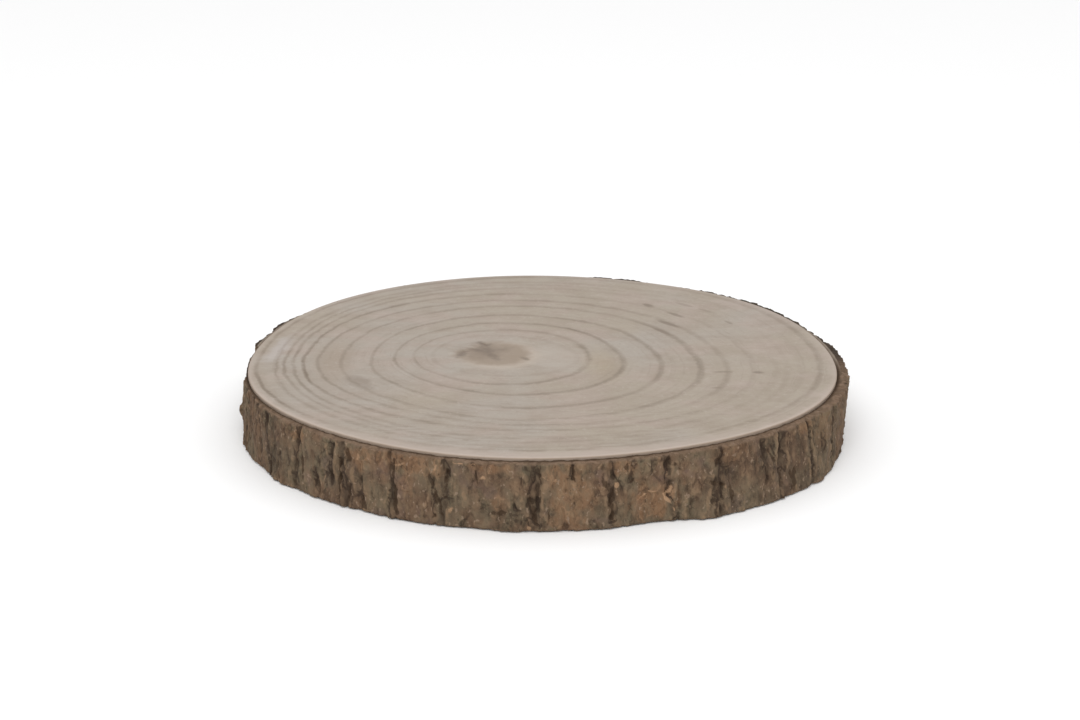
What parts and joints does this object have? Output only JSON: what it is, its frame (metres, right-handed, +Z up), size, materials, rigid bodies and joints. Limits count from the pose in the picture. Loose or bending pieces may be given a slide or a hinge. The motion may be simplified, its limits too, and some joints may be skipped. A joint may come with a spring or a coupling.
{
  "type": "wood slice",
  "caption": "Round slab sawn across a pale, wide-ringed trunk: two flat sawn faces with off-centre growth rings and a rim of rough, fissured bark",
  "frame": {"origin": "middle of the sawn underside, on the surface the slice lies on", "axes": "+Z up along the trunk's axis, -Y towards the viewer of the picture, +X to the viewer's right; the pith lies 22 mm towards -X"},
  "size_m": [0.274, 0.2754, 0.03],
  "materials": {
    "wood": "matte",
    "bark": "matte"
  },
  "bodies": {
    "root": {"wood_slice": "wood"}
  },
  "joints": []
}
